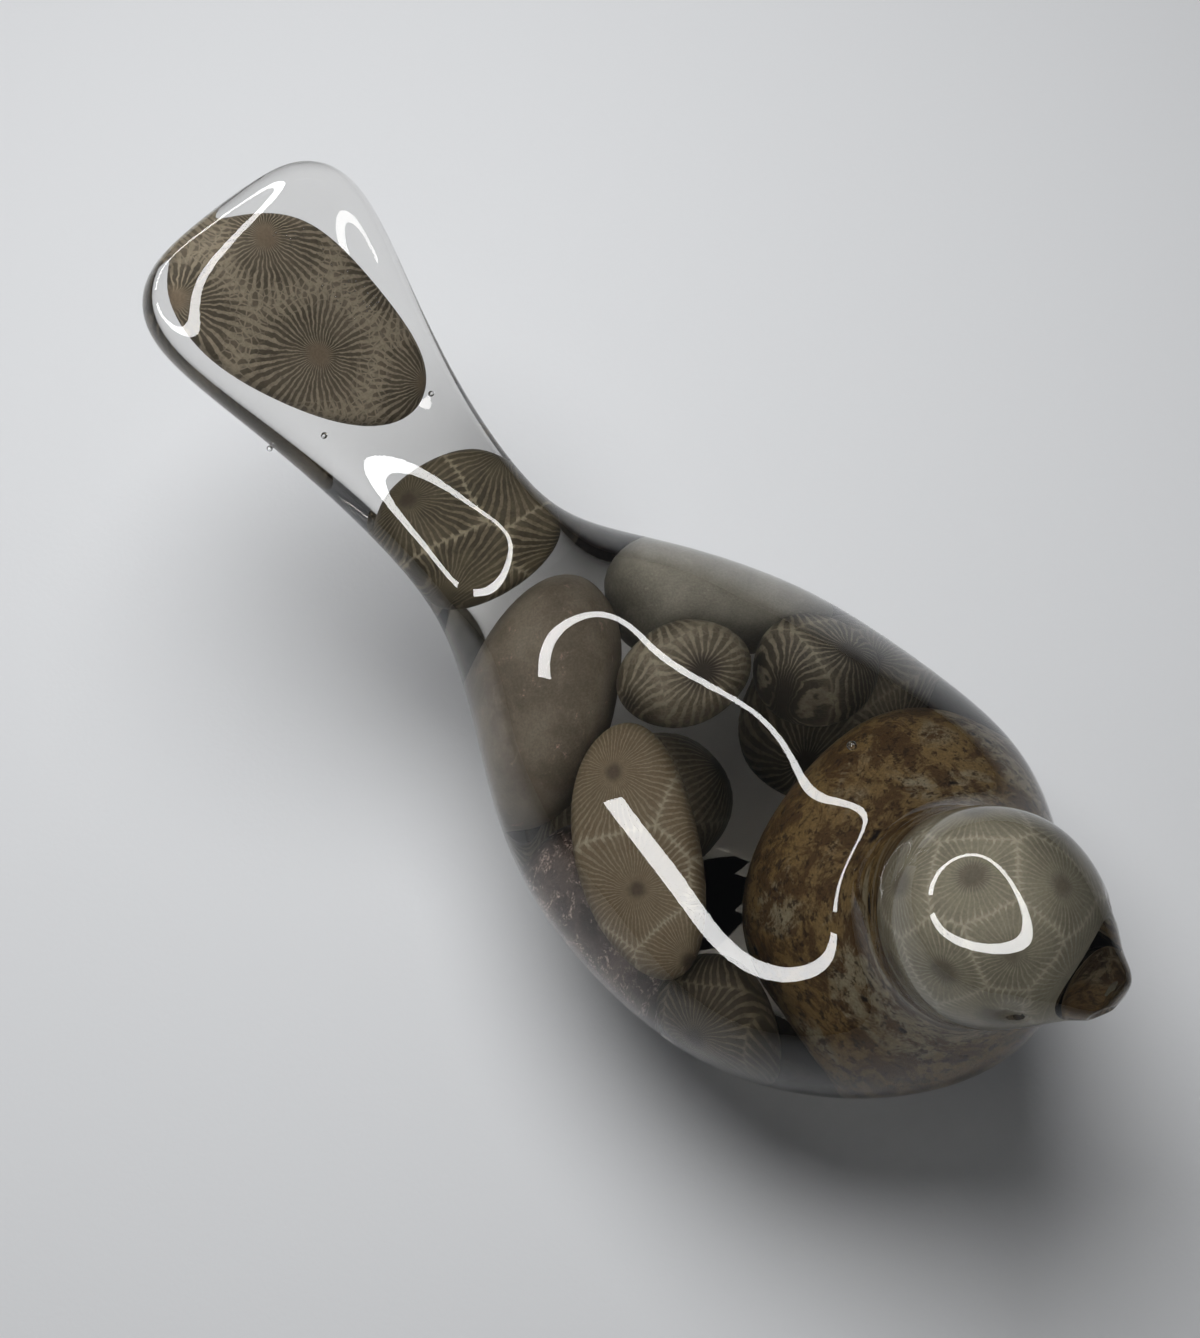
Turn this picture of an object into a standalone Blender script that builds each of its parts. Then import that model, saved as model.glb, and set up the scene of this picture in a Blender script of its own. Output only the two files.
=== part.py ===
"""Clear resin bird with petoskey stones cast inside it, modelled for Blender 4.5.

The bird rests on its belly, beak towards +X, its left wing side towards +Y.
The clear resin is parted down the middle so that every stone sits in a pocket.
"""

import math

import bmesh
import bpy
from mathutils import Matrix, Vector

MM = 0.001

# Overall sizes, in millimetres; the middle is halfway along, counted as in the sections
MIDDLE = 62.2
POCKET_GAP = 0.38
HALF_GAP = 0.3
RING_POINTS = 16

# The blocks that part the resin, large enough to hold one side of the bird, in millimetres
BLOCK_LENGTH = 160.0
BLOCK_WIDTH = 40.0
BLOCK_HEIGHT = 80.0

# A stone's cap and shoulder as shares of its width and height, on a flat and on a round stone
CAP_FLAT = 0.88
CAP_ROUND = 0.52
SHOULDER_FLAT = 0.42
SHOULDER_ROUND = 0.52

# Sections of the bird from the tail's end to the beak, in millimetres:
# top x, top z, bottom x, bottom z, half width, where it is widest (0 top, 1 bottom), squareness
SECTIONS = (
    (0.4, 56.6, -2.0, 52.8, 6.5, 0.5, 3.4),
    (2.9, 57.2, -1.4, 50.3, 12.3, 0.5, 3.8),
    (8.0, 54.4, 3.0, 46.8, 15.3, 0.5, 4.0),
    (18.0, 47.2, 13.6, 39.6, 12.2, 0.5, 3.4),
    (28.6, 41.4, 23.8, 32.8, 9.6, 0.5, 2.6),
    (38.8, 37.2, 33.8, 27.0, 8.6, 0.5, 2.3),
    (45.0, 36.4, 40.4, 22.4, 9.2, 0.5, 2.1),
    (51.6, 39.2, 46.4, 17.6, 12.2, 0.48, 2.0),
    (58.2, 42.3, 52.8, 12.6, 16.2, 0.46, 1.8),
    (64.6, 43.0, 60.0, 7.4, 20.4, 0.46, 1.75),
    (71.6, 44.6, 67.4, 2.4, 23.4, 0.46, 1.75),
    (79.6, 46.0, 76.4, -1.2, 25.0, 0.46, 1.75),
    (86.4, 45.4, 90.8, -0.4, 25.6, 0.44, 1.75),
    (91.4, 44.2, 107.0, 6.2, 24.6, 0.42, 1.8),
    (95.2, 44.0, 118.2, 19.2, 20.4, 0.42, 1.85),
    (98.2, 45.0, 121.2, 30.4, 14.0, 0.45, 2.0),
    (99.8, 48.4, 119.6, 37.2, 10.2, 0.5, 2.0),
    (101.8, 54.4, 118.8, 39.8, 10.6, 0.5, 2.0),
    (107.2, 59.2, 119.8, 41.4, 11.0, 0.5, 2.0),
    (115.8, 58.7, 121.6, 45.2, 8.5, 0.5, 2.0),
    (122.4, 56.4, 124.2, 49.4, 4.4, 0.5, 2.0),
    (124.8, 55.9, 125.6, 51.4, 3.1, 0.5, 2.0),
    (126.0, 55.2, 126.3, 52.8, 1.8, 0.5, 2.0),
)

# The beak's tip is chipped and the eyes are shallow hollows, in millimetres
CHIP_CENTRE = (127.6, -2.6, 53.2)
CHIP_RADIUS = 2.6
EYE_CENTRE = (119.4, 7.0, 52.6)
EYE_RADIUS = 1.9

# Stones: centre, turn in degrees, flat (0) or round (1), height above and below
# the widest part, then the outline points, all in millimetres
STONES = {
    "tail_stone": (
        (13.0, -1.4, 45.2), (0, 33, 0), 0.1, 2.1, 2.1,
        ((-12.9, -9.0), (-14.4, -4.2), (-14.3, 1.6), (-11.6, 7.2), (-6.4, 9.6), (3.0, 9.8),
         (10.8, 9.2), (14.8, 4.6), (11.8, -1.4), (3.4, -6.2), (-5.4, -9.8)),
    ),
    "tail_root_stone": (
        (39.6, 0.2, 31.1), (0, 19, 0), 0.1, 3.7, 3.9,
        ((-10.6, -6.8), (-10.6, -1.2), (-8.8, 5.8), (-3.2, 7.0),
         (7.4, 6.2), (10.2, 0.4), (4.8, -6.6), (-3.4, -7.6)),
    ),
    "rump_stone": (
        (59.7, -7.5, 26.0), (8, 6, -44), 0.7, 8.6, 8.2,
        ((-14.0, -0.4), (-6.0, -7.4), (5.4, -7.4),
         (12.4, -0.6), (7.6, 6.8), (-1.6, 8.8), (-10.4, 6.0)),
    ),
    "grey_back_stone": (
        (65.4, 11.3, 23.8), (-22, 4, 16), 0.5, 6.6, 7.0,
        ((-12.8, -1.2), (-9.0, 4.4), (0.0, 6.8),
         (9.0, 5.4), (10.0, -1.6), (1.0, -6.4), (-7.4, -5.6)),
    ),
    "fan_stone": (
        (78.8, 12.5, 31.4), (-22, 0, 30), 0.5, 6.6, 7.0,
        ((-7.6, -2.0), (-5.0, 4.2), (0.4, 6.0), (4.6, 3.4),
         (4.8, -2.4), (1.0, -5.6), (-3.8, -6.0)),
    ),
    "ring_stone": (
        (69.8, 1.9, 35.4), (0, 0, 24), 0.4, 5.0, 5.0,
        ((-6.4, 0.0), (-3.2, 5.0), (3.2, 5.4), (7.0, 1.0),
         (4.4, -4.8), (-1.2, -5.6), (-5.4, -3.8)),
    ),
    "long_slab_stone": (
        (80.9, -14.0, 32.0), (22, 11, -35), 0.15, 3.2, 3.4,
        ((-14.8, 0.6), (-10.4, 4.8), (0.6, 5.8), (10.4, 4.4),
         (11.8, -1.0), (5.4, -6.6), (-4.8, -7.2), (-12.2, -4.6)),
    ),
    "mottled_stone": (
        (100.7, 4.9, 25.7), (-8, 0, 10), 0.6, 13.2, 12.0,
        ((-16.4, -3.2), (-15.6, 7.2), (-7.4, 15.0), (4.2, 14.0),
         (13.2, 4.4), (11.4, -9.0), (-0.6, -16.2), (-11.6, -12.6)),
    ),
    "dark_breast_stone": (
        (95.4, -17.5, 24.3), (34, 0, -32), 0.3, 5.0, 5.6,
        ((-6.6, -0.8), (-4.6, 4.4), (1.4, 6.0), (6.4, 3.4),
         (5.4, -2.6), (0.2, -4.8), (-4.4, -4.2)),
    ),
    "speckled_flank_stone": (
        (79.9, -13.6, 18.7), (20, 0, -14), 0.6, 6.6, 7.0,
        ((-11.0, -0.4), (-5.4, 6.8), (6.6, 6.4),
         (10.8, -1.4), (3.0, -7.8), (-7.6, -6.0)),
    ),
    "head_stone": (
        (110.7, 0.0, 48.9), (0, -20, 0), 0.85, 7.9, 7.6,
        ((-8.2, 0.0), (-5.8, 6.0), (0.4, 8.2), (6.6, 5.6),
         (10.4, 0.0), (6.6, -5.6), (0.4, -8.2), (-5.8, -6.0)),
    ),
    "belly_stone": (
        (73.1, -1.6, 10.1), (0, -6, 30), 0.7, 6.2, 6.4,
        ((-7.6, 1.4), (-1.4, 7.0), (6.6, 4.6),
         (7.4, -2.8), (0.8, -7.0), (-5.8, -5.0)),
    ),
    "left_flank_stone": (
        (80.2, 11.9, 14.0), (-24, 0, 10), 0.7, 5.6, 6.0,
        ((-8.4, 1.4), (-2.4, 6.6), (6.4, 4.8),
         (8.0, -2.2), (1.6, -6.6), (-6.2, -4.6)),
    ),
}

COLOURS = {
    "resin": ((0.86, 0.87, 0.84, 0.35), 0.06),
    "tail_stone": ((0.16, 0.13, 0.095, 1.0), 0.4),
    "tail_root_stone": ((0.15, 0.13, 0.095, 1.0), 0.4),
    "rump_stone": ((0.18, 0.155, 0.125, 1.0), 0.45),
    "grey_back_stone": ((0.25, 0.235, 0.205, 1.0), 0.45),
    "fan_stone": ((0.09, 0.075, 0.06, 1.0), 0.4),
    "ring_stone": ((0.16, 0.135, 0.10, 1.0), 0.4),
    "long_slab_stone": ((0.22, 0.175, 0.12, 1.0), 0.4),
    "mottled_stone": ((0.27, 0.19, 0.10, 1.0), 0.55),
    "dark_breast_stone": ((0.07, 0.06, 0.045, 1.0), 0.4),
    "speckled_flank_stone": ((0.17, 0.13, 0.115, 1.0), 0.45),
    "head_stone": ((0.20, 0.19, 0.14, 1.0), 0.4),
    "belly_stone": ((0.15, 0.13, 0.10, 1.0), 0.45),
    "left_flank_stone": ((0.14, 0.12, 0.10, 1.0), 0.45),
}


def signed_power(value, power):
    return math.copysign(abs(value) ** power, value)


def section_points(section):
    """Points round one section, from the bird's left side over the back."""
    top_x, top_z, bottom_x, bottom_z, half_width, widest, squareness = section
    middle_x = top_x + (bottom_x - top_x) * widest
    middle_z = top_z + (bottom_z - top_z) * widest
    # subdivision pulls a ring inwards by this much
    spread = 3.0 / (2.0 + math.cos(2.0 * math.pi / RING_POINTS))
    points = []
    for step in range(RING_POINTS):
        angle = 2.0 * math.pi * step / RING_POINTS
        across = signed_power(math.cos(angle), 2.0 / squareness) * spread
        upward = signed_power(math.sin(angle), 2.0 / squareness) * spread
        end_x, end_z = (top_x, top_z) if upward > 0 else (bottom_x, bottom_z)
        x = middle_x + (end_x - middle_x) * abs(upward)
        z = middle_z + (end_z - middle_z) * abs(upward)
        points.append(((x - MIDDLE) * MM, across * half_width * MM, z * MM))
    return points


def bird_cage():
    """Vertices and faces of the coarse cage that subdivision rounds off."""
    vertices = []
    for section in SECTIONS:
        vertices.extend(section_points(section))
    faces = []
    for ring in range(len(SECTIONS) - 1):
        for step in range(RING_POINTS):
            following = (step + 1) % RING_POINTS
            near = ring * RING_POINTS
            far = near + RING_POINTS
            faces.append((near + step, near + following, far + following, far + step))
    last = (len(SECTIONS) - 1) * RING_POINTS
    faces.append(tuple(reversed(range(RING_POINTS))))
    faces.append(tuple(range(last, last + RING_POINTS)))
    return vertices, faces


def placed(point):
    """A point given from the tail's end, in metres about the middle of the bird."""
    return Vector(((point[0] - MIDDLE) * MM, point[1] * MM, point[2] * MM))


def make_collection(name):
    collection = bpy.data.collections.new(name)
    bpy.context.scene.collection.children.link(collection)
    return collection


def make_material(name):
    colour, roughness = COLOURS[name]
    material = bpy.data.materials.new(name)
    material.use_nodes = True
    shader = material.node_tree.nodes["Principled BSDF"]
    shader.inputs["Base Color"].default_value = colour
    shader.inputs["Alpha"].default_value = colour[3]
    shader.inputs["Roughness"].default_value = roughness
    shader.inputs["Metallic"].default_value = 0.0
    material.diffuse_color = colour
    return material


def add_object(name, vertices, faces, collection):
    mesh = bpy.data.meshes.new(name)
    mesh.from_pydata(vertices, [], faces)
    box = bmesh.new()
    box.from_mesh(mesh)
    bmesh.ops.recalc_face_normals(box, faces=box.faces)
    box.to_mesh(mesh)
    box.free()
    thing = bpy.data.objects.new(name, mesh)
    collection.objects.link(thing)
    return thing


def round_off(thing):
    rounding = thing.modifiers.new("round off", "SUBSURF")
    rounding.levels = 1
    rounding.render_levels = 1


def make_cutter(thing):
    thing.hide_render = True
    thing.display_type = "WIRE"


def join_or_cut(thing, tool, operation):
    change = thing.modifiers.new(tool.name, "BOOLEAN")
    change.operation = operation
    change.object = tool
    change.solver = "EXACT"


def stone_cage(outline, roundness, above, below):
    """Four rings and two caps, coarse enough for subdivision to round."""
    count = len(outline)
    spread = 3.0 / (2.0 + math.cos(2.0 * math.pi / count))
    cap_scale = CAP_FLAT + (CAP_ROUND - CAP_FLAT) * roundness
    shoulder = SHOULDER_FLAT + (SHOULDER_ROUND - SHOULDER_FLAT) * roundness
    levels = (
        (-below, cap_scale),
        (-below * shoulder, 1.0),
        (above * shoulder, 1.0),
        (above, cap_scale),
    )
    vertices = []
    for height, scale in levels:
        for u, v in outline:
            reach = scale * spread
            vertices.append((u * reach * MM, v * reach * MM, height * MM))
    faces = [tuple(range(count))]
    for level in range(3):
        for step in range(count):
            following = (step + 1) % count
            low = level * count
            high = low + count
            faces.append((low + step, low + following, high + following, high + step))
    faces.append(tuple(range(3 * count, 4 * count)))
    return vertices, faces


def make_stone(name, collection):
    centre, turn, roundness, above, below, outline = STONES[name]
    vertices, faces = stone_cage(outline, roundness, above, below)
    stone = add_object(name, vertices, faces, collection)
    stone.location = placed(centre)
    stone.rotation_euler = [math.radians(angle) for angle in turn]
    stone.data.materials.append(make_material(name))
    round_off(stone)
    return stone


def make_pocket(stone, collection):
    """The stone's own shape grown by the gap, to cut the resin with."""
    pocket = stone.copy()
    pocket.name = stone.name + "_pocket"
    collection.objects.link(pocket)
    growing = pocket.modifiers.new("gap", "DISPLACE")
    growing.direction = "NORMAL"
    growing.mid_level = 0.0
    growing.strength = POCKET_GAP * MM
    make_cutter(pocket)
    return pocket


def make_ball(name, centre, radius, collection):
    """A coarse ball to cut a shallow hollow with."""
    form = bmesh.new()
    bmesh.ops.create_icosphere(form, subdivisions=1, radius=radius * MM)
    mesh = bpy.data.meshes.new(name)
    form.to_mesh(mesh)
    form.free()
    ball = bpy.data.objects.new(name, mesh)
    collection.objects.link(ball)
    ball.location = placed(centre)
    make_cutter(ball)
    return ball


def make_half_space(side, collection):
    """A block that keeps one side of the bird and cuts its belly flat at the floor."""
    form = bmesh.new()
    bmesh.ops.create_cube(form, size=1.0)
    mesh = bpy.data.meshes.new("half_block")
    form.to_mesh(mesh)
    form.free()
    block = bpy.data.objects.new("half_block_" + ("left" if side > 0 else "right"), mesh)
    collection.objects.link(block)
    block.scale = (BLOCK_LENGTH * MM, BLOCK_WIDTH * MM, BLOCK_HEIGHT * MM)
    block.location = (0.0, side * (BLOCK_WIDTH + HALF_GAP) / 2 * MM, BLOCK_HEIGHT / 2 * MM)
    make_cutter(block)
    return block


def make_resin_half(name, side, tools, pockets, collection, material):
    vertices, faces = bird_cage()
    half = add_object(name, vertices, faces, collection)
    half.data.materials.append(material)
    round_off(half)
    join_or_cut(half, tools["chip"], "DIFFERENCE")
    join_or_cut(half, tools["eye_left" if side > 0 else "eye_right"], "DIFFERENCE")
    join_or_cut(half, tools["block_left" if side > 0 else "block_right"], "INTERSECT")
    for pocket in pockets:
        join_or_cut(half, pocket, "DIFFERENCE")
    return half


def main():
    for thing in list(bpy.data.objects):
        bpy.data.objects.remove(thing)
    bird = make_collection("resin_bird")
    cutters = make_collection("cutters")

    stones = [make_stone(name, bird) for name in STONES]
    pockets = [make_pocket(stone, cutters) for stone in stones]

    eye_x, eye_y, eye_z = EYE_CENTRE
    tools = {
        "chip": make_ball("chip", CHIP_CENTRE, CHIP_RADIUS, cutters),
        "eye_left": make_ball("eye_left", EYE_CENTRE, EYE_RADIUS, cutters),
        "eye_right": make_ball("eye_right", (eye_x, -eye_y, eye_z), EYE_RADIUS, cutters),
        "block_left": make_half_space(1, cutters),
        "block_right": make_half_space(-1, cutters),
    }
    resin = make_material("resin")
    make_resin_half("resin_left_half", 1, tools, pockets, bird, resin)
    make_resin_half("resin_right_half", -1, tools, pockets, bird, resin)


if __name__ == "__main__":
    main()
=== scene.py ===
"""Looks for the clear resin bird with petoskey stones cast inside it.

Sizes in the tables are millimetres, counted along from the tail's end.
"""

import math

import bmesh
import bpy
from mathutils import Matrix, Vector


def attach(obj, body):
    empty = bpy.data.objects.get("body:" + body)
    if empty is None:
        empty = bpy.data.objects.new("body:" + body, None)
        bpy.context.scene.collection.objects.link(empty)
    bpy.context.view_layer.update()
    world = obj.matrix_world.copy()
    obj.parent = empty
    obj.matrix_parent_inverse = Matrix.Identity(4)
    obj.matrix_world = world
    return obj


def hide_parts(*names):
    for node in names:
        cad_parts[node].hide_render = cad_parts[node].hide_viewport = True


bl_info = {
    "name": "Petoskey Stone Resin Bird",
    "version": (1, 0, 0),
    "blender": (4, 5, 0),
    "location": "3D View > Sidebar > Resin Bird",
    "description": "Builds a clear resin bird with fossil coral stones cast inside it",
    "category": "Object",
}

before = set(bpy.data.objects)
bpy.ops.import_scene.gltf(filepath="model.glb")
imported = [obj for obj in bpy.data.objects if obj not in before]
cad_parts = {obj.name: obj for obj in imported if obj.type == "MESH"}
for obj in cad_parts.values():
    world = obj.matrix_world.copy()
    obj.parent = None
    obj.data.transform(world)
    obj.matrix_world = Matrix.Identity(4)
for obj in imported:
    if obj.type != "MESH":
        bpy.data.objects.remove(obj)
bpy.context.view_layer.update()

MM = 0.001
# The middle of the bird's length, counted from the tail's end
MIDDLE = 62.2
# Corners of a CAD stone's loose triangles closer than this, in metres, are one corner
MERGE_DISTANCE = 0.00001
# Cage points round each section
RING_POINTS = 16
# Rounds of triangle splitting in the larger and the fine bubbles
LARGE_BUBBLE_SPLITS = 3
FINE_BUBBLE_SPLITS = 2

# Sections of the bird from the tail's end to the face:
# top x, top z, bottom x, bottom z, half width, where it is widest (0 top, 1 bottom), squareness
SECTIONS = (
    (0.4, 56.6, -2.0, 52.8, 6.5, 0.5, 3.4),
    (2.9, 57.5, -1.4, 50.3, 12.3, 0.5, 3.8),
    (8.0, 54.4, 3.0, 46.8, 15.3, 0.5, 4.0),
    (18.0, 48.0, 13.6, 39.6, 12.2, 0.5, 2.8),
    (28.6, 41.3, 23.8, 32.8, 9.6, 0.5, 2.2),
    (38.8, 37.2, 33.8, 27.0, 8.6, 0.5, 2.1),
    (45.0, 36.4, 40.4, 22.4, 9.2, 0.5, 2.1),
    (51.6, 39.2, 46.4, 17.6, 12.2, 0.48, 2.0),
    (58.2, 42.3, 52.8, 12.6, 16.2, 0.46, 1.8),
    (64.6, 43.0, 60.0, 7.4, 20.4, 0.46, 1.75),
    (71.6, 44.6, 67.4, 2.4, 23.4, 0.46, 1.75),
    (79.6, 46.0, 76.4, -1.2, 25.0, 0.46, 1.75),
    (86.4, 45.4, 90.8, -0.4, 25.6, 0.44, 1.75),
    (91.4, 44.2, 107.0, 6.2, 24.6, 0.42, 1.8),
    (95.2, 44.0, 118.2, 19.2, 20.4, 0.42, 1.85),
    (98.2, 45.0, 121.2, 30.4, 14.0, 0.45, 2.0),
    (99.8, 48.4, 119.6, 37.2, 10.2, 0.5, 2.0),
    (101.8, 54.4, 118.8, 39.8, 10.6, 0.5, 2.0),
    (107.2, 59.2, 119.8, 41.4, 11.0, 0.5, 2.0),
    (115.8, 58.7, 121.6, 45.2, 8.5, 0.5, 2.0),
    (121.2, 56.8, 123.6, 48.9, 5.1, 0.5, 2.0),
    (122.5, 56.3, 124.2, 49.7, 4.2, 0.5, 2.0),
    (124.8, 55.9, 125.6, 51.4, 3.1, 0.5, 2.0),
    (126.0, 55.2, 126.3, 52.8, 1.8, 0.5, 2.0),
)
CHIP_CENTRE = (127.6, -2.6, 53.2)
CHIP_RADIUS = 2.6
EYE_CENTRE = (119.4, 7.0, 52.6)
EYE_RADIUS = 2.0
EYE_DEPTH = 0.7

# Where each stone's pattern is centred and how it is turned, in degrees
STONE_PLACES = {
    "tail_stone": ((13.0, -1.4, 45.2), (0, 33, 0)),
    "tail_root_stone": ((39.6, 0.2, 31.1), (0, 19, 0)),
    "rump_stone": ((59.7, -7.5, 26.0), (8, 6, -44)),
    "grey_back_stone": ((65.4, 11.3, 23.8), (-22, 4, 16)),
    "fan_stone": ((78.8, 12.5, 31.4), (-22, 0, 30)),
    "ring_stone": ((69.8, 1.9, 35.4), (0, 0, 24)),
    "long_slab_stone": ((80.9, -14.0, 32.0), (22, 11, -35)),
    "mottled_stone": ((100.7, 4.9, 25.7), (-8, 0, 10)),
    "dark_breast_stone": ((95.4, -17.5, 24.3), (34, 0, -32)),
    "speckled_flank_stone": ((79.9, -13.6, 18.7), (20, 0, -14)),
    "head_stone": ((110.7, 0.0, 48.9), (0, -20, 0)),
    "belly_stone": ((73.1, -1.6, 10.1), (0, -6, 30)),
    "left_flank_stone": ((80.2, 11.9, 14.0), (-24, 0, 10)),
}

# Coral stones. Centres are the corallites' middles on the stone. Roundness is 0 where the pattern
# runs straight through the stone and 1 where it goes round it. Septa is how many rays a full turn
# has, thin says how narrow they are, drift how far the pattern is warped and waver how far rays swing.
# Core_size is about the radius of a corallite's middle. Haze and margin say how much and how far from
# the walls the ground turns pale, and net how much fine mesh there is.
CORAL_STONES = {
    "tail_stone": {
        "centres": ((-11.0, 3.4, 0), (2.4, -0.3, 0), (12.4, 7.6, 0), (-11.6, -8.8, 0),
                    (1.0, 13.4, 0), (13.5, -8.0, 0), (-20.0, -2.0, 0)),
        "roundness": 0.0, "septa": 44.0, "thin": 0.1, "drift": 1.3, "waver": 2.6, "core_size": 1.2,
        "haze": 0.30, "margin": 4.0, "net": 0.9, "wall_strength": 0.15,
        "ground": (0.052, 0.043, 0.029), "shade": (0.095, 0.078, 0.056), "core": (0.130, 0.099, 0.067),
        "septum": (0.234, 0.197, 0.143), "wall": (0.277, 0.239, 0.178),
    },
    "tail_root_stone": {
        "centres": ((2.6, -8.0, 0), (-8.8, -4.2, 0), (-6.2, 7.8, 0), (10.0, 6.0, 0), (13.0, -4.0, 0)),
        "roundness": 0.0, "septa": 46.0, "thin": 0.35, "drift": 1.0, "waver": 2.0, "core_size": 0.8,
        "haze": 0.10, "margin": 2.0, "net": 0.0, "wall_strength": 0.8,
        "ground": (0.036, 0.030, 0.019), "shade": (0.085, 0.070, 0.045), "core": (0.046, 0.036, 0.024),
        "septum": (0.144, 0.117, 0.077), "wall": (0.264, 0.225, 0.155),
    },
    "ring_stone": {
        "centres": ((2.1, -0.9, 5.0), (-5.6, 5.2, 3.0), (-4.6, -6.4, 3.0), (9.0, 4.6, 1.0),
                    (7.4, -7.4, 1.0)),
        "roundness": 0.0, "septa": 26.0, "thin": 0.0, "drift": 0.9, "waver": 3.0, "core_size": 1.7,
        "haze": 0.35, "margin": 3.0, "net": 0.3, "wall_strength": 0.3,
        "ground": (0.061, 0.049, 0.034), "shade": (0.085, 0.071, 0.049), "core": (0.022, 0.017, 0.013),
        "septum": (0.185, 0.159, 0.114), "wall": (0.214, 0.185, 0.136),
    },
    "fan_stone": {
        "centres": ((-3.4, -6.4, 4.0), (2.4, -0.6, 5.0), (-5.6, 6.0, 3.0), (7.4, 6.4, 1.0)),
        "roundness": 0.0, "septa": 30.0, "thin": 0.1, "drift": 1.0, "waver": 2.4, "core_size": 1.4,
        "haze": 0.25, "margin": 2.6, "net": 0.2, "wall_strength": 0.60,
        "ground": (0.037, 0.032, 0.024), "shade": (0.060, 0.050, 0.037), "core": (0.030, 0.025, 0.019),
        "septum": (0.172, 0.148, 0.108), "wall": (0.238, 0.209, 0.152),
    },
    "long_slab_stone": {
        "centres": ((2.5, -0.9, 0), (-9.6, -1.0, 0), (10.6, 3.0, 0), (-3.6, 9.4, 0), (5.2, 9.6, 0),
                    (9.8, -9.0, 0)),
        "roundness": 0.0, "septa": 54.0, "thin": 0.45, "drift": 1.1, "waver": 2.0, "core_size": 0.8,
        "haze": 0.30, "margin": 1.8, "net": 0.0, "wall_strength": 0.80,
        "ground": (0.124, 0.097, 0.061), "shade": (0.107, 0.079, 0.048), "core": (0.061, 0.044, 0.029),
        "septum": (0.178, 0.146, 0.100), "wall": (0.256, 0.221, 0.161),
    },
    "dark_breast_stone": {
        "centres": ((-6.8, 3.8, 0), (2.4, -1.4, 0), (-2.6, -8.0, 0), (9.0, 6.0, 0)),
        "roundness": 0.0, "septa": 40.0, "thin": 0.35, "drift": 0.8, "waver": 1.8, "core_size": 1.0,
        "haze": 0.10, "margin": 1.6, "net": 0.0, "wall_strength": 0.5,
        "ground": (0.025, 0.020, 0.013), "shade": (0.037, 0.030, 0.020), "core": (0.020, 0.015, 0.011),
        "septum": (0.081, 0.066, 0.045), "wall": (0.124, 0.104, 0.071),
    },
    "head_stone": {
        "centres": ((1.0, -1.2, 7.6), (6.4, -3.2, 3.4), (2.4, -7.0, 1.6), (6.0, 3.4, 4.4),
                    (-4.6, -4.4, 5.0), (-3.6, 4.4, 5.4), (7.4, 0.2, -2.0), (5.6, -5.4, -3.0),
                    (1.0, 7.4, 1.0), (-7.4, 0.4, 1.0), (-3.0, -6.6, -2.4), (0.0, 0.0, -7.6)),
        "roundness": 1.0, "septa": 38.0, "thin": 0.3, "drift": 1.0, "waver": 2.0, "core_size": 1.2,
        "haze": 0.35, "margin": 1.2, "net": 0.0, "wall_strength": 0.68,
        "ground": (0.190, 0.172, 0.126), "shade": (0.138, 0.124, 0.090), "core": (0.100, 0.088, 0.066),
        "septum": (0.220, 0.200, 0.150), "wall": (0.31, 0.285, 0.22),
    },
    "belly_stone": {
        "centres": ((0.0, 0.0, 7.0), (6.0, 4.0, 3.0), (-6.0, 3.0, 3.0), (2.0, -6.6, 3.0),
                    (-4.0, -3.0, -6.0), (4.0, 1.0, -7.0), (7.0, -4.0, -1.0)),
        "roundness": 1.0, "septa": 36.0, "thin": 0.2, "drift": 1.0, "waver": 2.0, "core_size": 1.2,
        "haze": 0.25, "margin": 2.2, "net": 0.3, "wall_strength": 0.5,
        "ground": (0.053, 0.043, 0.030), "shade": (0.074, 0.062, 0.043), "core": (0.037, 0.029, 0.020),
        "septum": (0.149, 0.127, 0.092), "wall": (0.198, 0.171, 0.127),
    },
    "left_flank_stone": {
        "centres": ((0.0, 1.0, 5.6), (6.0, -2.0, 3.0), (-6.0, 2.0, 3.0), (0.0, -6.0, 1.0),
                    (2.0, 6.4, 0.0), (0.0, 1.0, -5.6)),
        "roundness": 1.0, "septa": 34.0, "thin": 0.2, "drift": 1.0, "waver": 2.0, "core_size": 1.2,
        "haze": 0.25, "margin": 2.2, "net": 0.3, "wall_strength": 0.5,
        "ground": (0.043, 0.036, 0.025), "shade": (0.062, 0.052, 0.037), "core": (0.031, 0.025, 0.017),
        "septum": (0.133, 0.114, 0.083), "wall": (0.186, 0.160, 0.119),
    },
}

# Plain pebbles: main colour, second colour, flecks, how scarce the flecks are
PEBBLES = {
    "rump_stone": ((0.092, 0.075, 0.055), (0.150, 0.126, 0.095), (0.34, 0.20, 0.165), 0.60),
    "grey_back_stone": ((0.185, 0.172, 0.142), (0.245, 0.230, 0.194), (0.33, 0.31, 0.27), 0.60),
    "speckled_flank_stone": ((0.040, 0.030, 0.026), (0.115, 0.088, 0.076), (0.36, 0.28, 0.245), 0.50),
}

# Larger bubbles in the resin: along, across, up, radius
LARGE_BUBBLES = (
    (16.6, -11.2, 41.8, 0.26),
    (18.6, -11.6, 40.6, 0.34),
    (19.2, -10.8, 40.6, 0.22),
    (18.6, -10.2, 41.2, 0.24),
    (21.8, -6.4, 41.2, 0.36),
    (25.4, 5.6, 39.6, 0.34),
    (88.0, 6.4, 39.4, 0.55),
)
# Corners of the sheet over the tail stone that fine bubbles rise from, and how far they rise
BUBBLE_SHEET = ((5.0, 2.0, 53.2), (17.0, 3.4, 47.2), (16.6, 7.4, 46.2), (6.0, 5.4, 52.2))
BUBBLE_RISE = 0.8
# Air seen from inside the resin
AIR_IN_RESIN_IOR = 0.667

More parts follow.
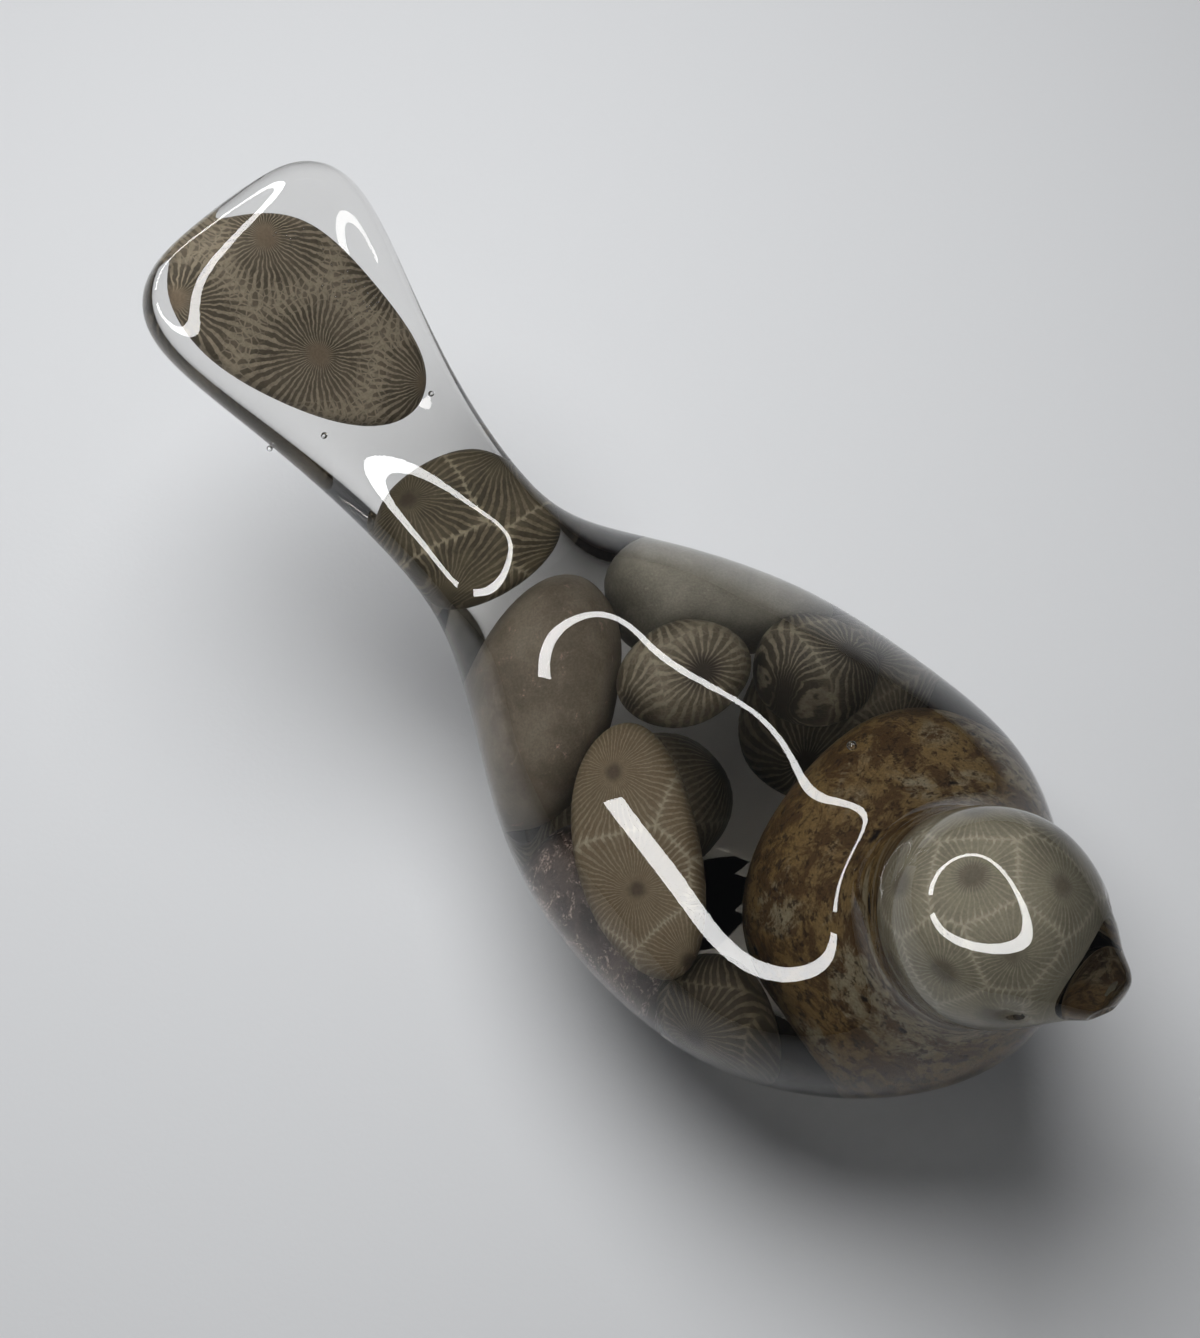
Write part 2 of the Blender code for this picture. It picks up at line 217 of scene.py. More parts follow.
# How fine each pattern is, in features for each millimetre of stone
CORAL_SCALES = {"drift": 0.28, "waver": 0.7, "fade": 1.3, "clouds": 0.22, "grain": 3.6, "net": 1.15}
PEBBLE_SCALES = {"broad": 0.16, "veins": 0.55, "grain": 4.0}
MOTTLED_SCALES = {"broad": 0.09, "blotches": 0.30, "speckles": 1.1, "grain": 3.4}
# Pores of the mottled stone: how close they are and their radius, then how ragged and patchy
SMALL_PORES = (0.30, 0.60)
LARGE_PORES = (0.13, 1.35)
PORE_RAGGED_SCALE = 0.8
PORE_PATCH_SCALE = 0.17
# The same for the resin's ripples and the paper's fibres, for each metre
RIPPLE_SCALE = 900.0
FIBRE_SCALE = 1400.0
# Further away than any corallite
FAR = 100.0
# A direction that no corallite's axis runs along, which rays are counted from
RAY_START = (0.83, 0.42, 0.36)
# How far grain lightens and darkens a smooth stone and a rough one
SMOOTH_GRAIN = 0.15
ROUGH_GRAIN = 0.25

# The ring lamp: the point it hangs over in metres, the side where its band is wide, its facets
LAMP_TARGET = (0.015, 0.0, 0.045)
LAMP_WIDE_SIDE = (0.0, -1.0, 0.0)
LAMP_FACETS = 96


def placed(point):
    """A point given from the tail's end, in metres about the middle of the bird."""
    return Vector(((point[0] - MIDDLE) * MM, point[1] * MM, point[2] * MM))


def link(thing):
    bpy.context.scene.collection.objects.link(thing)
    return thing


def smooth(mesh):
    for face in mesh.polygons:
        face.use_smooth = True


def baked_mesh(thing, name):
    """The object's mesh with its modifiers applied, as a plain mesh."""
    graph = bpy.context.evaluated_depsgraph_get()
    mesh = bpy.data.meshes.new_from_object(thing.evaluated_get(graph))
    mesh.name = name
    return mesh


# Shader node helpers

class Shader:
    """Adds nodes to a material's tree and joins them."""

    def __init__(self, name):
        self.material = bpy.data.materials.new(name)
        self.material.use_nodes = True
        self.tree = self.material.node_tree
        self.surface = self.tree.nodes["Principled BSDF"]
        self.output = self.tree.nodes["Material Output"]

    def add(self, kind, **settings):
        node = self.tree.nodes.new(kind)
        for setting, value in settings.items():
            setattr(node, setting, value)
        return node

    def feed(self, socket, value):
        if isinstance(value, bpy.types.NodeSocket):
            self.tree.links.new(value, socket)
        else:
            socket.default_value = value

    def math(self, operation, first, second=0.0, third=0.0):
        node = self.add("ShaderNodeMath", operation=operation)
        for socket, value in zip(node.inputs, (first, second, third)):
            self.feed(socket, value)
        return node.outputs[0]

    def vector(self, operation, first, second=(0.0, 0.0, 0.0)):
        node = self.add("ShaderNodeVectorMath", operation=operation)
        self.feed(node.inputs[0], first)
        self.feed(node.inputs[1], second)
        if operation in {"DOT_PRODUCT", "DISTANCE"}:
            return node.outputs["Value"]
        return node.outputs["Vector"]

    def noise(self, point, scale, detail=3.0, rough=0.55, distortion=0.0):
        node = self.add("ShaderNodeTexNoise")
        self.feed(node.inputs["Vector"], point)
        node.inputs["Scale"].default_value = scale
        node.inputs["Detail"].default_value = detail
        node.inputs["Roughness"].default_value = rough
        node.inputs["Distortion"].default_value = distortion
        return node.outputs

    def span(self, value, low, high, new_low=0.0, new_high=1.0):
        node = self.add("ShaderNodeMapRange", interpolation_type="SMOOTHSTEP")
        self.feed(node.inputs["Value"], value)
        node.inputs["From Min"].default_value = low
        node.inputs["From Max"].default_value = high
        node.inputs["To Min"].default_value = new_low
        node.inputs["To Max"].default_value = new_high
        return node.outputs["Result"]

    def blend(self, amount, first, second, blend_type="MIX"):
        node = self.add("ShaderNodeMix", data_type="RGBA", blend_type=blend_type)
        colours = [socket for socket in node.inputs if socket.type == "RGBA"]
        self.feed(node.inputs[0], amount)
        for socket, value in zip(colours, (first, second)):
            if isinstance(value, tuple):
                value = (*value, 1.0)
            self.feed(socket, value)
        return [socket for socket in node.outputs if socket.type == "RGBA"][0]

    def blend_vectors(self, amount, first, second):
        node = self.add("ShaderNodeMix", data_type="VECTOR")
        vectors = [socket for socket in node.inputs if socket.type == "VECTOR"][-2:]
        self.feed(node.inputs[0], amount)
        self.feed(vectors[0], first)
        self.feed(vectors[1], second)
        return [socket for socket in node.outputs if socket.type == "VECTOR"][0]

    def bump(self, height, strength, distance):
        node = self.add("ShaderNodeBump")
        node.inputs["Strength"].default_value = strength
        node.inputs["Distance"].default_value = distance
        self.feed(node.inputs["Height"], height)
        self.feed(self.surface.inputs["Normal"], node.outputs["Normal"])

    def grain_shade(self, colour, grain, depth):
        """The colour lightened and darkened by a fine grain."""
        shade = self.span(grain, 0.25, 0.75, 1.0 - depth, 1.0 + depth)
        return self.blend(1.0, colour, self.vector("MULTIPLY", (1.0, 1.0, 1.0), shade), "MULTIPLY")

    def stone_point(self, name):
        """The stone's own coordinates in millimetres."""
        centre, turn = STONE_PLACES[name]
        coordinates = self.add("ShaderNodeTexCoord")
        mapping = self.add("ShaderNodeMapping", vector_type="TEXTURE")
        self.feed(mapping.inputs["Vector"], coordinates.outputs["Object"])
        mapping.inputs["Location"].default_value = placed(centre)
        mapping.inputs["Rotation"].default_value = [math.radians(angle) for angle in turn]
        mapping.inputs["Scale"].default_value = (MM, MM, MM)
        return mapping.outputs["Vector"]


def wet_stone_surface(shader, colour, roughness):
    """A stone under resin: matt, because resin takes away its own gloss."""
    shader.feed(shader.surface.inputs["Base Color"], colour)
    shader.surface.inputs["Roughness"].default_value = roughness
    shader.surface.inputs["Specular IOR Level"].default_value = 0.08


def nearest_corallite(shader, point, centres, flatten):
    """Distance to the nearest and second nearest corallite, and the nearest one's centre."""
    nearest = FAR
    second = FAR
    home = tuple(centres[0][axis] * flatten[axis] for axis in range(3))
    for centre in centres:
        flat_centre = tuple(centre[axis] * flatten[axis] for axis in range(3))
        distance = shader.vector("DISTANCE", point, flat_centre)
        closer = shader.math("LESS_THAN", distance, nearest)
        further = shader.math("MAXIMUM", distance, nearest)
        second = shader.math("MINIMUM", further, second)
        nearest = shader.math("MINIMUM", distance, nearest)
        home = shader.blend_vectors(closer, home, flat_centre)
    return nearest, second, home


def turn_angle(shader, offset, home, roundness):
    """Angle round the corallite's own axis."""
    if roundness > 0.5:
        axis = shader.vector("NORMALIZE", home)
    else:
        axis = (0.0, 0.0, 1.0)
    sideways = shader.vector("NORMALIZE", shader.vector("CROSS_PRODUCT", axis, RAY_START))
    upward = shader.vector("CROSS_PRODUCT", axis, sideways)
    return shader.math(
        "ARCTAN2",
        shader.vector("DOT_PRODUCT", offset, upward),
        shader.vector("DOT_PRODUCT", offset, sideways),
    )


def coral_material(name, settings):
    look = CORAL_STONES[name]
    core_size = look["core_size"]
    shader = Shader(name + "_coral")
    flatten = (1.0, 1.0, look["roundness"])
    own_point = shader.stone_point(name)
    drift = shader.noise(own_point, CORAL_SCALES["drift"], 3.0)["Color"]
    drift = shader.vector("SUBTRACT", drift, (0.5, 0.5, 0.5))
    drift = shader.vector("MULTIPLY", drift, (look["drift"],) * 3)
    point = shader.vector("MULTIPLY", shader.vector("ADD", own_point, drift), flatten)
    nearest, second, home = nearest_corallite(shader, point, look["centres"], flatten)
    offset = shader.vector("SUBTRACT", point, home)
    angle = turn_angle(shader, offset, home, look["roundness"])

    # Septa: fine pale rays that fade here and there and blur in the core
    waver = shader.noise(own_point, CORAL_SCALES["waver"], 2.0)["Fac"]
    swing = shader.math("MULTIPLY", waver, look["waver"])
    wave = shader.math("SINE", shader.math("MULTIPLY_ADD", angle, look["septa"], swing))
    wave = shader.math("MULTIPLY_ADD", shader.span(nearest, 2.0, 7.0), 0.35, wave)
    rays = shader.span(wave, look["thin"], 0.95)
    fade = shader.noise(own_point, CORAL_SCALES["fade"], 3.0, 0.6)["Fac"]
    rays = shader.math("MULTIPLY", rays, shader.span(fade, 0.25, 0.6, 0.35, 1.0))
    rays = shader.math("MULTIPLY", rays, shader.span(nearest, core_size * 0.4, core_size * 1.6, 0.1, 1.0))

    # Walls between corallites: a thin zigzag line that the rays run into
    border = shader.math("SUBTRACT", second, nearest)
    border = shader.math("MULTIPLY_ADD", rays, -0.7, border)
    wall = shader.span(border, settings.wall_width / MM, -0.2)
    margin = shader.span(border, look["margin"], 0.2)

    # Ground: clouded, browner towards the cores, with a fine grain
    clouds = shader.noise(own_point, CORAL_SCALES["clouds"], 5.0, 0.6)["Fac"]
    grain = shader.noise(own_point, CORAL_SCALES["grain"], 4.0, 0.7)["Fac"]
    ground = shader.blend(shader.span(clouds, 0.3, 0.7), look["ground"], look["shade"])
    ground = shader.blend(shader.span(nearest, core_size * 1.7, core_size * 0.6), ground, look["core"])
    colour = shader.blend(shader.math("MULTIPLY", margin, look["haze"]), ground, look["septum"])
    colour = shader.blend(rays, colour, look["septum"])
    if look["net"] > 0.0:
        cells = shader.add("ShaderNodeTexVoronoi", feature="DISTANCE_TO_EDGE")
        shader.feed(cells.inputs["Vector"], own_point)
        cells.inputs["Scale"].default_value = CORAL_SCALES["net"]
        mesh_line = shader.span(cells.outputs["Distance"], 0.13, 0.02)
        area = shader.math("MULTIPLY", shader.span(border, 5.0, 1.5), look["net"])
        colour = shader.blend(shader.math("MULTIPLY", mesh_line, area), colour, look["septum"])
    colour = shader.blend(shader.math("MULTIPLY", wall, look["wall_strength"]), colour, look["wall"])
    colour = shader.grain_shade(colour, grain, SMOOTH_GRAIN)
    wet_stone_surface(shader, colour, settings.roughness)
    shader.bump(shader.math("ADD", rays, wall), strength=0.15, distance=0.2 * MM)
    return shader.material


def pebble_material(name, settings):
    main, second, fleck, scarce = PEBBLES[name]
    shader = Shader(name + "_pebble")
    point = shader.stone_point(name)
    broad = shader.noise(point, PEBBLE_SCALES["broad"], 4.0, 0.6)["Fac"]
    veins = shader.noise(point, PEBBLE_SCALES["veins"], 6.0, 0.7, 1.2)["Fac"]
    grain = shader.noise(point, PEBBLE_SCALES["grain"], 3.0, 0.6)["Fac"]
    colour = shader.blend(shader.span(broad, 0.35, 0.65), main, second)
    colour = shader.blend(shader.math("MULTIPLY", shader.span(veins, 0.45, 0.7), 0.5), colour, second)
    fleck_places = shader.span(veins, scarce, scarce + 0.12)
    spots = shader.math("MULTIPLY", fleck_places, shader.span(grain, 0.45, 0.6))
    colour = shader.blend(spots, colour, fleck)
    colour = shader.grain_shade(colour, grain, SMOOTH_GRAIN)
    wet_stone_surface(shader, colour, settings.roughness)
    shader.bump(grain, strength=0.12, distance=0.2 * MM)
    return shader.material


def pores(shader, point, size):
    """Roundish holes, present in some places only."""
    scale, radius = size
    uneven = shader.vector("ADD", point, shader.noise(point, PORE_RAGGED_SCALE, 3.0)["Color"])
    cells = shader.add("ShaderNodeTexVoronoi", feature="F1")
    shader.feed(cells.inputs["Vector"], uneven)
    cells.inputs["Scale"].default_value = scale
    hole = shader.span(cells.outputs["Distance"], radius * scale, radius * scale * 0.6)
    chosen = shader.noise(point, PORE_PATCH_SCALE, 2.0)["Fac"]
    return shader.math("MULTIPLY", hole, shader.span(chosen, 0.47, 0.55))


def mottled_material(settings):
    shader = Shader("mottled_stone_rough")
    point = shader.stone_point("mottled_stone")
    broad = shader.noise(point, MOTTLED_SCALES["broad"], 4.0, 0.6, 0.8)["Fac"]
    blotches = shader.noise(point, MOTTLED_SCALES["blotches"], 8.0, 0.74, 0.5)["Fac"]
    speckles = shader.noise(point, MOTTLED_SCALES["speckles"], 5.0, 0.72)["Fac"]
    grain = shader.noise(point, MOTTLED_SCALES["grain"], 4.0, 0.7)["Fac"]
    ochre = tuple(settings.mottled_ochre)
    brown = tuple(settings.mottled_brown)
    dark = tuple(settings.mottled_dark)
    pale = tuple(settings.mottled_pale)
    colour = shader.blend(shader.span(broad, 0.46, 0.58), ochre, pale)
    colour = shader.blend(shader.span(blotches, 0.45, 0.56), colour, brown)
    dark_share = shader.math("MULTIPLY", shader.span(speckles, 0.52, 0.62), 0.85)
    colour = shader.blend(dark_share, colour, dark)
    pore = shader.math("MAXIMUM", pores(shader, point, SMALL_PORES), pores(shader, point, LARGE_PORES))
    # Painted shade: the pore hollows are darkened to near black for the shade that falls in the holes
    colour = shader.blend(pore, colour, tuple(settings.mottled_pore_painted_shade))
    colour = shader.grain_shade(colour, grain, ROUGH_GRAIN)
    wet_stone_surface(shader, colour, settings.roughness)
    height = shader.math("MULTIPLY_ADD", pore, -2.0, shader.math("ADD", grain, speckles))
    shader.bump(height, strength=0.4, distance=0.4 * MM)
    return shader.material


def resin_material(settings):
    shader = Shader("clear_resin")
    surface = shader.surface
    surface.inputs["Base Color"].default_value = (1.0, 1.0, 1.0, 1.0)
    surface.inputs["Transmission Weight"].default_value = 1.0
    surface.inputs["Roughness"].default_value = settings.resin_roughness
    surface.inputs["IOR"].default_value = settings.resin_ior
    haze = shader.add("ShaderNodeVolumeAbsorption")
    haze.inputs["Color"].default_value = (*settings.resin_tint, 1.0)
    haze.inputs["Density"].default_value = settings.resin_density
    shader.tree.links.new(haze.outputs["Volume"], shader.output.inputs["Volume"])
    coordinates = shader.add("ShaderNodeTexCoord")
    ripples = shader.noise(coordinates.outputs["Object"], RIPPLE_SCALE, 2.0)["Fac"]
    shader.bump(ripples, settings.resin_ripple, distance=0.1 * MM)
    return shader.material


def bubble_material():
    shader = Shader("air_bubble")
    shader.surface.inputs["Base Color"].default_value = (1.0, 1.0, 1.0, 1.0)
    shader.surface.inputs["Transmission Weight"].default_value = 1.0
    shader.surface.inputs["Roughness"].default_value = 0.0
    shader.surface.inputs["IOR"].default_value = AIR_IN_RESIN_IOR
    return shader.material


def lamp_material(strength):
    shader = Shader("ring_lamp_glow")
    shader.surface.inputs["Base Color"].default_value = (0.0, 0.0, 0.0, 1.0)
    shader.surface.inputs["Emission Color"].default_value = (1.0, 1.0, 1.0, 1.0)
    shader.surface.inputs["Emission Strength"].default_value = strength
    return shader.material


def paper_material(settings):
    shader = Shader("pale_paper")
    coordinates = shader.add("ShaderNodeTexCoord")
    fibres = shader.noise(coordinates.outputs["Object"], FIBRE_SCALE, 4.0)["Fac"]
    shader.surface.inputs["Base Color"].default_value = (*settings.paper_colour, 1.0)
    shader.surface.inputs["Roughness"].default_value = 0.9
    shader.surface.inputs["Specular IOR Level"].default_value = 0.2
    shader.bump(fibres, strength=0.08, distance=0.3 * MM)
    return shader.material


# The resin body

def signed_power(value, power):
    return math.copysign(abs(value) ** power, value)


def section_points(section):
    """Points round one section, from the bird's left side over the back."""
    top_x, top_z, bottom_x, bottom_z, half_width, widest, squareness = section
    middle_x = top_x + (bottom_x - top_x) * widest
    middle_z = top_z + (bottom_z - top_z) * widest
    # Subdivision pulls a ring inwards, so the cage is wider by as much
    spread = 3.0 / (2.0 + math.cos(2.0 * math.pi / RING_POINTS))
    points = []
    for step in range(RING_POINTS):
        angle = 2.0 * math.pi * step / RING_POINTS
        across = signed_power(math.cos(angle), 2.0 / squareness) * spread
        upward = signed_power(math.sin(angle), 2.0 / squareness) * spread
        end_x, end_z = (top_x, top_z) if upward > 0 else (bottom_x, bottom_z)
        x = middle_x + (end_x - middle_x) * abs(upward)
        z = middle_z + (end_z - middle_z) * abs(upward)
        points.append(placed((x, across * half_width, z)))
    return points


def bird_cage():
    """Vertices and faces of the coarse cage that subdivision rounds off."""
    vertices = []
    for section in SECTIONS:
        vertices.extend(section_points(section))
    faces = []
    for ring in range(len(SECTIONS) - 1):
        for step in range(RING_POINTS):
            following = (step + 1) % RING_POINTS
            near = ring * RING_POINTS
            far = near + RING_POINTS
            faces.append((near + step, far + step, far + following, near + following))
    last = (len(SECTIONS) - 1) * RING_POINTS
    faces.append(tuple(range(RING_POINTS)))
    faces.append(tuple(reversed(range(last, last + RING_POINTS))))
    return vertices, faces


def press_eyes(mesh, depth):
    """Two shallow hollows for eyes, one on each side of the face."""
    for side in (1, -1):
        centre = placed((EYE_CENTRE[0], side * EYE_CENTRE[1], EYE_CENTRE[2]))
        for vertex in mesh.vertices:
            away = (vertex.co - centre).length / (EYE_RADIUS * MM)
            if away < 1.0:
                vertex.co -= vertex.normal * depth * (1.0 - away * away) ** 2


def chip_beak(mesh):
    """The broken corner of the beak, hollowed as by a knock."""
    centre = placed(CHIP_CENTRE)
    for vertex in mesh.vertices:
        out = vertex.co - centre
        if out.length < CHIP_RADIUS * MM:
            vertex.co = centre + out.normalized() * CHIP_RADIUS * MM


def rest_on_floor(mesh):
    for vertex in mesh.vertices:
        vertex.co.z = max(vertex.co.z, 0.0)


def make_resin_body(settings):
    vertices, faces = bird_cage()
    cage = bpy.data.meshes.new("bird_cage")
    cage.from_pydata(vertices, [], faces)
    cage.update()
    rough = link(bpy.data.objects.new("bird_cage", cage))
    rounding = rough.modifiers.new("round off", "SUBSURF")
    rounding.levels = settings.body_subdivision
    rounding.render_levels = settings.body_subdivision
    mesh = baked_mesh(rough, "resin_body")
    bpy.data.objects.remove(rough)
    form = bmesh.new()
    form.from_mesh(mesh)
    bmesh.ops.recalc_face_normals(form, faces=form.faces)
    form.to_mesh(mesh)
    form.free()
    press_eyes(mesh, settings.eye_depth)
    chip_beak(mesh)
    rest_on_floor(mesh)
    mesh.update()
    smooth(mesh)
    body = link(bpy.data.objects.new("resin_body", mesh))
    mesh.materials.clear()
    mesh.materials.append(resin_material(settings))
    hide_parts("resin_left_half", "resin_right_half")
    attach(body, "root")


# The stones

def stone_copy(node_name, levels):
    """A smoother stone made from the CAD node's own mesh, merged first."""
    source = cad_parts[node_name]
    mesh = source.data.copy()
    mesh.name = node_name + "_fine"
    form = bmesh.new()
    form.from_mesh(mesh)
    bmesh.ops.remove_doubles(form, verts=form.verts, dist=MERGE_DISTANCE)
    bmesh.ops.join_triangles(
        form,
        faces=form.faces,
        angle_face_threshold=0.7,
        angle_shape_threshold=0.9,
    )
    form.to_mesh(mesh)
    form.free()
    mesh.materials.clear()
    smooth(mesh)
    stone = link(bpy.data.objects.new(node_name + "_fine", mesh))
    rounding = stone.modifiers.new("round off", "SUBSURF")
    rounding.levels = levels
    rounding.render_levels = levels
    return stone


def finish_stone(stone, node_name, material):
    stone.data.materials.append(material)
    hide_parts(node_name)
    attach(stone, "root")


# Bubbles

def ball_mesh(name, centre, radius):
    form = bmesh.new()
    bmesh.ops.create_icosphere(
        form,
        subdivisions=LARGE_BUBBLE_SPLITS,
        radius=radius,
        matrix=Matrix.Translation(centre),
    )
    mesh = bpy.data.meshes.new(name)
    form.to_mesh(mesh)
    form.free()
    return mesh


def scatter_tree(material):
    """Geometry nodes: small balls scattered over a sheet."""
    tree = bpy.data.node_groups.new("bubble scatter", "GeometryNodeTree")
    face = tree.interface
    face.new_socket("Geometry", in_out="INPUT", socket_type="NodeSocketGeometry")
    face.new_socket("Density", in_out="INPUT", socket_type="NodeSocketFloat")
    face.new_socket("Smallest", in_out="INPUT", socket_type="NodeSocketFloat")
    face.new_socket("Largest", in_out="INPUT", socket_type="NodeSocketFloat")
    face.new_socket("Depth", in_out="INPUT", socket_type="NodeSocketFloat")
    face.new_socket("Seed", in_out="INPUT", socket_type="NodeSocketInt")
    face.new_socket("Geometry", in_out="OUTPUT", socket_type="NodeSocketGeometry")
    nodes = tree.nodes
    links = tree.links
    start = nodes.new("NodeGroupInput")
    end = nodes.new("NodeGroupOutput")
    scatter = nodes.new("GeometryNodeDistributePointsOnFaces")
    links.new(start.outputs["Geometry"], scatter.inputs["Mesh"])
    links.new(start.outputs["Density"], scatter.inputs["Density"])
    links.new(start.outputs["Seed"], scatter.inputs["Seed"])
    lift = nodes.new("FunctionNodeRandomValue")
    lift.data_type = "FLOAT"
    links.new(start.outputs["Depth"], lift.inputs["Max"])
    links.new(start.outputs["Seed"], lift.inputs["Seed"])
    upward = nodes.new("ShaderNodeVectorMath")
    upward.operation = "SCALE"
    links.new(scatter.outputs["Normal"], upward.inputs[0])
    links.new(lift.outputs["Value"], upward.inputs["Scale"])
    shift = nodes.new("GeometryNodeSetPosition")
    links.new(scatter.outputs["Points"], shift.inputs["Geometry"])
    links.new(upward.outputs["Vector"], shift.inputs["Offset"])
    size = nodes.new("FunctionNodeRandomValue")
    size.data_type = "FLOAT"
    links.new(start.outputs["Smallest"], size.inputs["Min"])
    links.new(start.outputs["Largest"], size.inputs["Max"])
    links.new(start.outputs["Seed"], size.inputs["Seed"])
    ball = nodes.new("GeometryNodeMeshIcoSphere")
    ball.inputs["Radius"].default_value = 1.0
    ball.inputs["Subdivisions"].default_value = FINE_BUBBLE_SPLITS
    place = nodes.new("GeometryNodeInstanceOnPoints")
    links.new(shift.outputs["Geometry"], place.inputs["Points"])
    links.new(ball.outputs["Mesh"], place.inputs["Instance"])
    links.new(size.outputs["Value"], place.inputs["Scale"])
    realize = nodes.new("GeometryNodeRealizeInstances")
    links.new(place.outputs["Instances"], realize.inputs["Geometry"])
    paint = nodes.new("GeometryNodeSetMaterial")
    paint.inputs["Material"].default_value = material
    links.new(realize.outputs["Geometry"], paint.inputs["Geometry"])
    links.new(paint.outputs["Geometry"], end.inputs["Geometry"])
    return tree


def set_inputs(modifier, values):
    for item in modifier.node_group.interface.items_tree:
        if item.item_type == "SOCKET" and item.in_out == "INPUT" and item.name in values:
            modifier[item.identifier] = values[item.name]


def scatter_bubbles(name, corners, values, material):
    """Fine bubbles near a four-cornered sheet."""
    mesh = bpy.data.meshes.new(name)
    mesh.from_pydata([placed(corner) for corner in corners], [], [(0, 1, 2, 3)])
    sheet = link(bpy.data.objects.new(name + "_sheet", mesh))
    change = sheet.modifiers.new("scatter", "NODES")
    change.node_group = scatter_tree(material)
    set_inputs(change, values)
    result = baked_mesh(sheet, name)
    bpy.data.objects.remove(sheet)
    smooth(result)
    cloud = link(bpy.data.objects.new(name, result))
    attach(cloud, "root")


# The stage

def make_ring_lamp(settings):
    """A broken ring that shows as a white loop in the resin."""
    form = bmesh.new()
    target = Vector(LAMP_TARGET)
    toward = settings.lamp_direction.normalized()
    sideways = toward.orthogonal().normalized()
    upward = toward.cross(sideways)
    wide_side = Vector(LAMP_WIDE_SIDE)
    centre = target + toward * settings.lamp_distance
    gap = math.radians(settings.lamp_gap)
    start = math.radians(settings.lamp_gap_turn) + gap / 2
    rows = []
    for step in range(LAMP_FACETS + 1):
        angle = start + (2 * math.pi - gap) * step / LAMP_FACETS
        spoke = sideways * math.cos(angle) + upward * math.sin(angle)
        width = settings.lamp_width * (1 + settings.lamp_unevenness * spoke.dot(wide_side))
        inner = centre + spoke * (settings.lamp_radius - width / 2)
        outer = centre + spoke * (settings.lamp_radius + width / 2)
        rows.append((form.verts.new(inner), form.verts.new(outer)))
    for near, far in zip(rows, rows[1:]):
        form.faces.new((near[0], near[1], far[1], far[0]))
    mesh = bpy.data.meshes.new("ring_lamp")
    form.to_mesh(mesh)
    form.free()
    mesh.materials.append(lamp_material(settings.lamp_strength))
    lamp = link(bpy.data.objects.new("ring_lamp", mesh))
    lamp.visible_diffuse = False


def make_floor(settings):
    half = settings.floor_size / 2
    mesh = bpy.data.meshes.new("paper_floor")
    corners = [(-half, -half, 0), (half, -half, 0), (half, half, 0), (-half, half, 0)]
    mesh.from_pydata(corners, [], [(0, 1, 2, 3)])
    mesh.materials.append(paper_material(settings))
    floor = link(bpy.data.objects.new("paper_floor", mesh))


def make_soft_light(settings):
    data = bpy.data.lights.new("soft_light", "AREA")
    data.shape = "DISK"
    data.size = settings.soft_size
    data.energy = settings.soft_power
    light = link(bpy.data.objects.new("soft_light", data))
    direction = settings.soft_direction.normalized()
    light.location = direction * settings.soft_distance
    light.rotation_euler = direction.to_track_quat("Z", "Y").to_euler()
    light.visible_glossy = False


def make_world(settings):
    world = bpy.data.worlds.new("studio")
    bpy.context.scene.world = world
    bpy.context.scene.view_settings.view_transform = "Standard"
    world.use_nodes = True
    background = world.node_tree.nodes["Background"]
    background.inputs["Color"].default_value = (*settings.room_colour, 1.0)
    background.inputs["Strength"].default_value = settings.room_strength


def make_camera(settings):
    data = bpy.data.cameras.new("camera")
    data.sensor_fit = "VERTICAL"
    data.sensor_height = 36.0
    data.lens = settings.camera_lens
    data.clip_start = 0.01
    camera = link(bpy.data.objects.new("camera", data))
    azimuth = settings.camera_azimuth
    elevation = settings.camera_elevation
    direction = Vector((
        math.sin(azimuth) * math.cos(elevation),
        -math.cos(azimuth) * math.cos(elevation),
        math.sin(elevation),
    ))
    turn = direction.to_track_quat("Z", "Y").to_matrix() @ Matrix.Rotation(settings.camera_roll, 3, "Z")
    camera.matrix_world = turn.to_4x4()
    camera.location = settings.camera_target + direction * settings.camera_distance
    bpy.context.scene.camera = camera


# Settings

class ResinSettings(bpy.types.PropertyGroup):
    resin_ior: bpy.props.FloatProperty(
        name="Refraction", description="How strongly the resin bends light",
        default=1.54, min=1.0, max=2.0)
    resin_roughness: bpy.props.FloatProperty(
        name="Roughness", description="Roughness of the polished resin",
        default=0.012, min=0.0, max=1.0)
    resin_ripple: bpy.props.FloatProperty(
        name="Ripple", description="Strength of the fine waves left by polishing",
        default=0.02, min=0.0, max=1.0)
    resin_tint: bpy.props.FloatVectorProperty(
        name="Tint", description="Colour that deep resin takes",
        default=(0.74, 0.72, 0.68), subtype="COLOR", size=3, min=0.0, max=1.0)
    resin_density: bpy.props.FloatProperty(
        name="Depth of tint", description="How fast the resin takes its tint",
        default=44.0, min=0.0)
    eye_depth: bpy.props.FloatProperty(
        name="Eye depth", description="Depth of the hollows for eyes",
        default=EYE_DEPTH * MM, unit="LENGTH")
    body_subdivision: bpy.props.IntProperty(
        name="Smoothness", description="Subdivision of the resin body",
        default=3, min=1, max=4)


